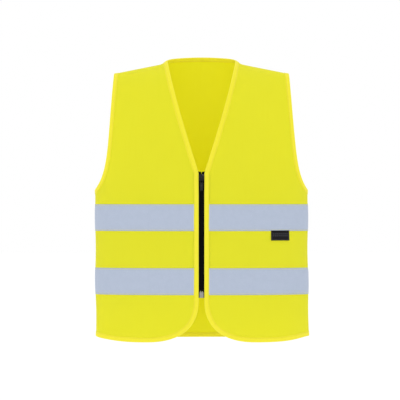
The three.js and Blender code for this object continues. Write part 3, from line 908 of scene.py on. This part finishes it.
# Loose parts of one mesh: each is a pair of points and faces.
def solid(sections, flip=False, ring=False):
    stations, around = sections.shape[:2]
    if ring:
        closed = np.concatenate([sections, sections[:1]])
        faces = [tuple(f) for f in gridFaces(len(closed), around, closed=True) % (stations * around)]
    else:
        faces = [tuple(f) for f in gridFaces(stations, around, closed=True)]
        faces += [tuple(range(around))[::-1], tuple((stations - 1) * around + np.arange(around))]
    return sections.reshape(-1, 3), turned(faces) if flip else faces


def assemble(name, parts, finish, sharp=35):
    points, faces, first = [], [], 0
    for some, joined in parts:
        points.append(some)
        faces += [tuple(int(k) + first for k in f) for f in joined]
        first += len(some)
    return makePiece(name, np.concatenate(points), faces, finish, sharp=sharp)


# Places on the zip, in millimetres: x across, h up from the hem, t out from the middle of the cloth.
def atZip(x, h, t):
    x, h, t = np.broadcast_arrays(*(np.asarray(v, float) / 1000 for v in (x, h, t)))
    return np.stack([x, -(torso["halfDepth"] + seamShift + t), h], -1)


def insetLoop(loop, amount):
    after, before = np.roll(loop, -1, 0), np.roll(loop, 1, 0)
    normal = np.stack([(before - after)[:, 1], (after - before)[:, 0]], -1)
    return loop + amount * normal / np.linalg.norm(normal, axis=1)[:, None]


def roundedLoop(corners, radius, steps=6):
    corners = np.array(corners, float)
    loop = []
    for k, here in enumerate(corners):
        before = corners[k - 1] - here
        after = corners[(k + 1) % len(corners)] - here
        reach = min(radius, 0.49 * np.linalg.norm(before), 0.49 * np.linalg.norm(after))
        a = here + before / np.linalg.norm(before) * reach
        b = here + after / np.linalg.norm(after) * reach
        for t in np.linspace(0, 1, steps):
            loop.append(a * (1 - t) ** 2 + here * 2 * t * (1 - t) + b * t**2)
    return np.array(loop)


plateSteps = [(0, 1), (0.3, 0.3), (1, 0)]


def plate(loop, low, high, bevel):
    levels = [(low + bevel * up, bevel * back) for up, back in plateSteps]
    levels += [(high - bevel * up, bevel * back) for up, back in plateSteps[::-1]]
    rings = [insetLoop(loop, back) for _, back in levels]
    return solid(np.stack([atZip(ring[:, 0], ring[:, 1], t) for ring, (t, _) in zip(rings, levels)]))


def framePlate(outer, inner, low, high, bevel):
    around = [(outer, up, back, 1) for up, back in plateSteps]
    around += [(inner, up, back, -1) for up, back in plateSteps[::-1]]
    section = [(insetLoop(loop, bevel * back * way), bevel * up) for loop, up, back, way in around]
    section = [(loop, low + up) for loop, up in section] + [(loop, high - up) for loop, up in section[::-1]]
    return solid(np.stack([atZip(loop[:, 0], loop[:, 1], t) for loop, t in section], 1), ring=True)


zipSize = {
    "tapeEdge": 0.12, "tapeWidth": 16.0, "tapeFoot": 84.0, "tapeTop": 322.0,
    "tapeSlant": 2.4, "tapeOut": -1.2, "tapeIn": -1.65,
    "coilLow": 96.4, "coilHigh": 317.2, "pitch": 1.5, "coilMiddle": 1.55, "coilReach": 1.8,
    "coilOut": -0.2, "coilDepth": 0.58, "wire": 0.37, "turnSteps": 16,
    "stopIn": 0.5, "stopWidth": 3.1, "stopHeight": 2.8, "stopAbove": 0.5,
    "pinX": 2.0, "pinLow": 84.6, "pinHigh": 97.0, "pinRadius": 0.72, "pinOut": -0.35, "collarFoot": 95.4,
}


def zipTapeParts(side):
    z = zipSize
    across = np.array([z["tapeEdge"], 0.9, 3.9, 4.4, 8, 12, 15.0, z["tapeWidth"]])
    bead = np.array([0.05, 0.12, 0.12, 0, 0, 0, 0.1, 0.0])
    up = np.linspace(0, 1, 130)[:, None]
    slant = z["tapeSlant"] * (1 - np.clip(across / 8, 0, 1))
    h = z["tapeFoot"] + (z["tapeTop"] - slant - z["tapeFoot"]) * up
    x = across + 0.08 * np.sin(h * 0.11 + side) * (across > 6)
    splay = np.exp(-(z["tapeTop"] - h) / 7) * 0.8
    outer = atZip(side * (x + splay), h, z["tapeOut"] + bead)
    inner = atZip(side * (x + splay), h, z["tapeIn"] - bead)
    place = np.stack([x / 1000, h / 1000, h * 0], -1)
    return outer, inner, place


def coilPart(side):
    z = zipSize
    turns = (z["coilHigh"] - z["coilLow"]) / z["pitch"]
    a = np.linspace(0, 2 * math.pi * turns, int(turns * z["turnSteps"]))
    h = z["coilLow"] + a / (2 * math.pi) * z["pitch"] + (0 if side > 0 else z["pitch"] / 2)
    across = z["coilMiddle"] + z["coilReach"] * np.cos(a)
    out = z["coilOut"] + z["coilDepth"] * np.sin(a)
    head = 1 + 0.28 * np.clip(-np.cos(a) - 0.6, 0, 1)  # pressed wider where it hooks its neighbour
    path = atZip(side * across, np.minimum(h, z["coilHigh"]), out)
    return tube(path, z["wire"] * head / 1000, np.array([0, 0, 1.0]), sides=7)


def onSide(part, side):
    points, faces = part
    return points * [side, 1, 1], turned(faces) if side < 0 else faces


def block(left, right, low, high):
    return [(left, low), (right, low), (right, high), (left, high)]


# A top stop is a clip of nylon round the tape's edge, with a raised face.
def stopParts(side):
    z = zipSize
    low = z["coilHigh"] + z["stopAbove"]
    left, right, high = z["stopIn"], z["stopIn"] + z["stopWidth"], low + z["stopHeight"]
    clip = roundedLoop(block(left, right, low, high), 0.7)
    face = roundedLoop(block(left + 0.4, right - 0.4, low + 0.6, high - 0.6), 0.5)
    parts = [plate(clip, -1.95, -1.2, 0.2), plate(clip, -0.9, 0.75, 0.3), plate(face, -1.3, 0.95, 0.15)]
    return [onSide(part, side) for part in parts]


# The pins at the foot: a rod with narrowed ends in a collar.
def pinParts(side):
    z = zipSize
    h = np.linspace(z["pinLow"], z["pinHigh"], 16)
    radius = np.full(len(h), z["pinRadius"]) / 1000
    radius[[0, -1]] *= 0.6
    rod = tube(atZip(side * z["pinX"], h, z["pinOut"]), radius, np.array([0, -1.0, 0]), sides=14)
    collar = roundedLoop(block(1.0, 3.1, z["collarFoot"], z["pinHigh"]), 0.4)
    return [solid(rod, flip=True), onSide(plate(collar, -1.15, 0.4, 0.2), side)]


print("building the zip")
for side in (1, -1):
    name = sideName(side)
    outer, inner, place = zipTapeParts(side)
    pin = "leftRetainerPin" if side > 0 else "rightInsertionPin"
    pinNode = "left_retainer_pin" if side > 0 else "right_insertion_pin"
    coilSolid = [solid(coilPart(side), flip=True)]
    tapePiece = slab(name + "ZipTape", outer, inner, zipTwill, place, flip=side < 0)
    coil = assemble(name + "ZipCoil", coilSolid, coilNylon, sharp=70)
    stop = assemble(name + "ZipTopStop", stopParts(side), coilNylon)
    pinPiece = assemble(pin, pinParts(side), nickel, sharp=50)
    flap = frontBodies(side)
    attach(stand(tapePiece, "zip_tape_cloth", name + "_zip_tape"), flap)
    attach(stand(coil, "zip_coil_nylon", name + "_zip_coil"), flap)
    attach(stand(stop, "zip_coil_nylon", name + "_zip_top_stop"), flap)
    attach(stand(pinPiece, "nickel_plate", pinNode), flap)


# The retainer box: a rounded block with a raised frame and rib on its face, in millimetres.
retainer = {
    "foot": 84, "head": 95, "half": 3.9, "rear": -1.8, "face": 0.95,
    "frameFace": 1.12, "ribFace": 1.08, "ribFoot": 85.9, "ribHead": 92.6,
}


def retainerParts():
    r = retainer
    half, shoulder = r["half"], r["head"] - 0.8
    body = [(-half, r["foot"]), (half, r["foot"]), (half, shoulder), (half - 0.7, r["head"])]
    loop = roundedLoop(body + [(-x, h) for x, h in body[:1:-1]], 1.6)
    rib = [(-2.5, r["ribFoot"]), (2.5, r["ribFoot"]), (2.1, r["ribHead"]), (-2.1, r["ribHead"])]
    frame = roundedLoop(block(-3.3, 3.3, r["foot"] + 0.7, r["head"] - 1.1), 1.3)
    inner = [(-2.9, 85.2), (2.9, 85.2), (2.7, 93.3), (-2.7, 93.3)]
    return [
        plate(loop, r["rear"], r["face"], 0.45),
        framePlate(frame, roundedLoop(inner, 1.3), 0.8, r["frameFace"], 0.1),
        plate(roundedLoop(rib, 1.2), 0.7, r["ribFace"], 0.16),
    ]


retainerBox = assemble("retainerBox", retainerParts(), nickel)
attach(stand(retainerBox, "nickel_plate", "retainer_box"), "left_front")


# The slider: two shield-shaped plates with lips, a wedge between them, and a bridge that holds the pull.
slider = {"low": 303.4, "high": 316.6, "frontPlate": (1.0, 1.85), "rearPlate": (-2.9, -2.1), "lip": 0.6}
pull = {"top": 310.85, "foot": 285.0, "half": 2.9, "rear": 2.8, "face": 3.8}
bridgeLine = [
    (305.1, 1.9), (305.0, 3.2), (305.4, 4.5), (307.0, 5.05), (310.2, 5.15),
    (313.2, 5.05), (314.8, 4.5), (315.2, 3.2), (315.1, 1.9),
]


def sliderParts():
    low, high = slider["low"], slider["high"]
    shield = [(-3.9, low), (3.9, low), (4.5, low + 5.5), (4.8, low + 8), (4.6, high - 1.2), (2.9, high)]
    shield += [(0, high - 1.1), (-2.9, high), (-4.6, high - 1.2), (-4.8, low + 8), (-4.5, low + 5.5)]
    loop = roundedLoop(shield, 1.3)
    raised = [(-2.2, low + 1), (2.2, low + 1), (2.6, high - 4)]
    raised = roundedLoop(raised + [(1.4, high - 1.8), (-1.4, high - 1.8), (-2.6, high - 4)], 1.2)
    parts = [plate(loop, *slider["frontPlate"], 0.28), plate(raised, 1.6, 2.1, 0.2)]
    parts.append(plate(loop, *slider["rearPlate"], 0.28))
    wedge = [(-0.32, high - 5.6), (0.32, high - 5.6), (0.5, high - 2.4), (-0.5, high - 2.4)]
    parts.append(plate(roundedLoop(wedge, 0.25), -2.3, 1.2, 0.05))
    for side in (1, -1):
        lip = [(3.72, low + 0.4), (4.35, low + 5.5), (4.6, low + 8.4), (4.35, high - 1.7)]
        lip = [(side * x, h) for x, h in lip]
        back = [(x + side * -slider["lip"], h) for x, h in lip[::-1]]
        edge = roundedLoop((lip + back)[:: side], 0.3, 4)
        parts.append(plate(edge, -0.55, 1.3, 0.12))
    return parts


def bridgePart():
    path = np.array(bridgeLine)
    dense = np.linspace(0, len(path) - 1, 41)
    h, t = (np.interp(dense, np.arange(len(path)), path[:, k]) for k in (0, 1))
    for _ in range(3):
        h[1:-1], t[1:-1] = ((v[:-2] + 2 * v[1:-1] + v[2:]) / 4 for v in (h, t))
    run = np.stack([np.gradient(h), np.gradient(t)], -1)
    run /= np.linalg.norm(run, axis=1)[:, None]
    flare = 1 + 0.5 * np.exp(-np.minimum(dense, dense[-1] - dense) / 0.7)
    section = roundedLoop([(-0.8, -0.42), (0.8, -0.42), (0.8, 0.42), (-0.8, 0.42)], 0.28, 4)
    x = section[:, 0][None] * flare[:, None]
    hh = h[:, None] + run[:, 1:] * section[:, 1]
    tt = t[:, None] - run[:, :1] * section[:, 1]
    return solid(atZip(x, hh, tt))


def pullParts():
    top, foot, half = pull["top"], pull["foot"], pull["half"]
    body = [(-2.15, top), (-2.3, 306), (-half, 298), (-half, foot)]
    outline = roundedLoop(body + [(-x, h) for x, h in body[::-1]], 1.7)
    left = [(-1.35, 309.35), (-1.45, 306.5), (-1.55, 303), (-1.6, 300.5)]
    window = roundedLoop(left + [(-x, h) for x, h in left[::-1]], 0.8)
    tongue = roundedLoop([(-2.75, 300.4), (-2.6, 286.0), (2.6, 286.0), (2.75, 300.4)], 1.0)
    rim = roundedLoop([(-2.0, 298.6), (-2.0, 286.2), (2.0, 286.2), (2.0, 298.6)], 1.1)
    rimOut = insetLoop(rim, -0.35)
    shoulder = roundedLoop([(-1.75, 297.7), (-1.75, 292.8), (1.75, 292.8), (1.75, 297.7)], 0.5)
    return [
        framePlate(outline, window, pull["rear"], pull["face"], 0.26), plate(tongue, 2.95, 3.65, 0.1),
        framePlate(rimOut, rim, 2.85, 3.78, 0.1), plate(shoulder, 2.9, 3.72, 0.08),
    ]


zipSlider = assemble("zipSlider", sliderParts(), enamel)
zipBridge = assemble("zipSliderBridge", [bridgePart()], enamel)
zipPull = assemble("zipPull", pullParts(), enamel)
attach(stand(zipSlider, "black_enamel", "zip_slider"), "zip_slider")
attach(stand(zipBridge, "black_enamel", "slider_bridge"), "zip_slider")
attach(stand(zipPull, "black_enamel", "zip_pull"), "zip_pull")

print("labels, seams and stitches")


# Labels, both folded ribbon held by a seam at one end.
def ribbonSection(start, length, low, ply, gap):
    top = low + 2 * ply + gap
    outer = [(length, (low + top) / 2), (length - 0.1, top - 0.12), (length - 0.45, top)]
    outer += [(s, top) for s in np.linspace(length - 2, start, 9)]
    slot = [(s, top - ply) for s in np.linspace(start, length - 2, 9)] + [(length - 0.6, top - ply)]
    slot += [(length - 0.45, (low + top) / 2), (length - 0.6, low + ply)]
    slot += [(s, low + ply) for s in np.linspace(length - 2, start, 9)]
    under = [(s, low) for s in np.linspace(start, length - 2, 9)]
    return outer + slot + under + [(length - 0.45, low), (length - 0.1, low + 0.12)]


flag = {"left": 0.1305, "right": 0.1648, "length": 18.2, "tuck": -0.8}
flagTop = bands["upper"] + 0.0001
flagPath = onBody(np.linspace(flag["right"], flag["left"], 60), flagTop, -1)


def flagLift(u, s):
    down = np.clip(s / 0.018, 0, 1)
    return 0.0006 * down**1.3 + 0.0007 * down**3 * ((2 * u - 1) ** 4) + 0.00012 * np.sin(u * 9) * down


flagCut = ribbonSection(flag["tuck"], flag["length"], -0.02, 0.24, 0.08)
flagCut = [(s, t + 0.32) for s, t in flagCut]
flagLabel = follow("flagLabel", flagPath, flagCut, flagCloth, 1, 0.0012, lift=flagLift)
bendAcrossFold(stand(flagLabel, "flag_label_cloth", "flag_label"), 1)
placeLayer = flagLabel.data.attributes["clothPlace"].data
places = np.empty(len(placeLayer) * 3, np.float32)
placeLayer.foreach_get("vector", places)
places = places.reshape(-1, 3)
places[:, 0] *= (flag["right"] - flag["left"]) / places[:, 0].max()
places[:, 1] = flag["length"] / 1000 - places[:, 1]
placeLayer.foreach_set("vector", places.ravel())

care = {"top": 0.204, "foot": 0.152, "tuck": 2.5, "length": 33.0, "lean": 0.0012, "wave": 0.0007}
carePath = onBody(torso["halfWidth"] * np.ones(60), np.linspace(care["top"], care["foot"], 60), 1)


def careLift(u, s):
    down = np.clip(s * 1000 / care["length"], 0, 1)
    return -care["lean"] * down**1.5 - care["wave"] * down**3 * np.cos(u * 5)


careCut = ribbonSection(care["tuck"], care["length"], 1.0, 0.18, 0.1)
careCut = [(s, -t) for s, t in careCut[::-1]]
careLabel = follow("careLabel", carePath, careCut, careSatin, 1, 0.0018, lift=careLift)
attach(stand(careLabel, "care_label_cloth", "care_label"), "torso")

# Seam turnings: a narrow strip of both layers of cloth, folded to the back inside the side and shoulder seams
turning = [
    (3, -0.32), (0.3, -0.34), (0.1, -0.6), (0.4, -0.88),
    (3, -0.9), (6.9, -0.86), (7.05, -0.6), (7.0, -0.36),
]
sideSeam = onBody(np.full(200, torso["halfWidth"]), np.linspace(0.2795, 0.0165, 200), 1)
shoulderX = np.linspace(cut["neckX"] + 0.007, cut["tipX"] - 0.007, 80)
shoulderSeam = np.stack([shoulderX, shoulderX * 0, ridge(shoulderX)], -1)
seamPaths = {"SideSeam": sideSeam, "ShoulderSeam": shoulderSeam}
for side in (1, -1):
    for seam, path in seamPaths.items():
        strip = follow(sideName(side) + seam + "Turning", path, turning, knit, side, 0.003, 0.00004)
        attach(stand(strip, "hi_vis_cloth"), "torso")

# Stitch rows. A row on the face lies out from the cloth and its twin lies under it.
def bindingRows(path, side=1):
    return [stitchRow(path, stitch["bindingRow"], way * stitch["onBinding"], side) for way in (1, -1)]


def bandRows(half, side=1):
    rows = []
    for level in ("lower", "upper"):
        for s in (stitch["bandRow"], bands["width"] - stitch["bandRow"]):
            for out in (stitch["onBandFace"], -stitch["onBandBack"]):
                rows.append(stitchRow(bandPath(level, half), s, out, side))
    return rows


straightEdge = onBody(np.full(200, cut["frontGap"]), np.linspace(0.3235, 0.0845, 200), -1)
for side in (1, -1):
    name = sideName(side)
    rows = bindingRows(frontEdgePath(), side)
    for out in (stitch["onZipFace"], -stitch["onZipBack"]):
        rows.append(stitchRow(straightEdge, stitch["zipRow"], out, side))
    thread = sew(name + "FrontStitches", rows + bandRows(-1, side), yellowThread)
    bendAcrossFold(stand(thread, "hi_vis_cloth"), side)
    rows = bindingRows(armholePath(), side)
    rows.append(stitchRow(shoulderSeam, 0.0022, stitch["onShoulder"], side))
    for path in seamPaths.values():
        rows.append(stitchRow(path, 0.0012, -stitch["onTurning"], side))
        pitch, across = stitch["overlockPitch"], stitch["overlockAcross"]
        rows.append(stitchRow(path, 0.0052, -stitch["onTurning"], side, pitch, across))
    thread = sew(name + "SeamStitches", rows, yellowThread)
    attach(stand(thread, "hi_vis_cloth"), "torso")
    tapeEdge = straightEdge + [stitch["tapeRow"], 0, 0]
    chain = sew(name + "ZipTapeStitches", [stitchRow(tapeEdge, 0, -stitch["onZipBack"], side)], blackThread)
    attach(stand(chain, "zip_tape_cloth"), frontBodies(side))
rows = bindingRows(backHemPath()) + bindingRows(backNeckPath()) + bandRows(1)
backStitches = sew("backStitches", rows, yellowThread)
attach(stand(backStitches, "hi_vis_cloth"), "torso")


# What each length of cloth was cut to before it was sewn and hung, in metres.
flatSizes = {
    "back": (0.467, 0.537), "backArea": 0.2265, "front": (0.229, 0.537), "frontArea": 0.1013,
    "backBand": (0.467, 0.05), "frontBand": (0.22, 0.05), "bindingWidth": 0.0187,
    "zipTape": (0.016, 0.238), "flagLabel": (0.0343, 0.038), "careLabel": (0.052, 0.052),
}


def named(name):
    return bpy.data.objects[name]


def lengthOf(path):
    return float(spaced(path, 0.002)[1][-1])


def declareCloth():
    size = flatSizes
    sides = [sideName(side) for side in (1, -1)]
    sewnOn = [named(name + seam + "Turning") for name in sides for seam in seamPaths]
    sewnOn += [backStitches] + [named(name + "SeamStitches") for name in sides]
    for name in sides:
        for what, path in {"FrontBinding": frontEdgePath(), "ArmholeBinding": armholePath()}.items():
            strip = (size["bindingWidth"], lengthOf(path))
    for what, path in {"backHemBinding": backHemPath(), "backNeckBinding": backNeckPath()}.items():
        strip = (size["bindingWidth"], lengthOf(path))


declareCloth()


# A plain white floor, well below the hem, under a white room.
def layFloor():
    size = {"drop": 0.34, "half": 30}
    corners = [(x * size["half"], y * size["half"], hemZ - size["drop"]) for y in (-1, 1) for x in (-1, 1)]
    paper = Finish("whiteFloor", Roughness=0.9)
    place = paper.objectPlace()[-1]
    grain = paper.noise(place, 3, 2)
    paper.paint(paper.mix(grain, (0.9, 0.9, 0.9), (0.94, 0.94, 0.94)))
    paper.glow((1, 1, 1), 0.12)
    makePiece("floor", np.array(corners), gridFaces(2, 2), paper.material, lifted=False)


lamps = {  # place from the middle of the vest, size in metres, power in watts
    "softKey": ((-1.9, -3.0, 1.5), 1.8, 5),
    "softFill": ((2.4, -2.6, 0.6), 2.2, 1),
    "overhead": ((0, 0.4, 2.6), 2.4, 4),
}


def addLamp(name, place, aim, size, power):
    data = bpy.data.lights.new(name, "AREA")
    data.shape, data.size, data.energy = "DISK", size, power
    lamp = bpy.data.objects.new(name, data)
    lamp.location = place
    lamp.rotation_euler = (Vector(aim) - Vector(place)).to_track_quat("-Z", "Y").to_euler()
    bpy.context.scene.collection.objects.link(lamp)


def setLight():
    middle = (0, 0, hemZ + 0.27)
    for name, (place, size, power) in lamps.items():
        addLamp(name, (place[0], place[1], middle[2] + place[2]), middle, size, power)
    world = bpy.data.worlds.new("paleRoom")
    world.use_nodes = True
    world.node_tree.nodes["Background"].inputs[0].default_value = (1, 1, 1, 1)
    world.node_tree.nodes["Background"].inputs[1].default_value = 1.0
    scene = bpy.context.scene
    scene.world = world
    scene.view_settings.view_transform = "Standard"


layFloor()
setLight()
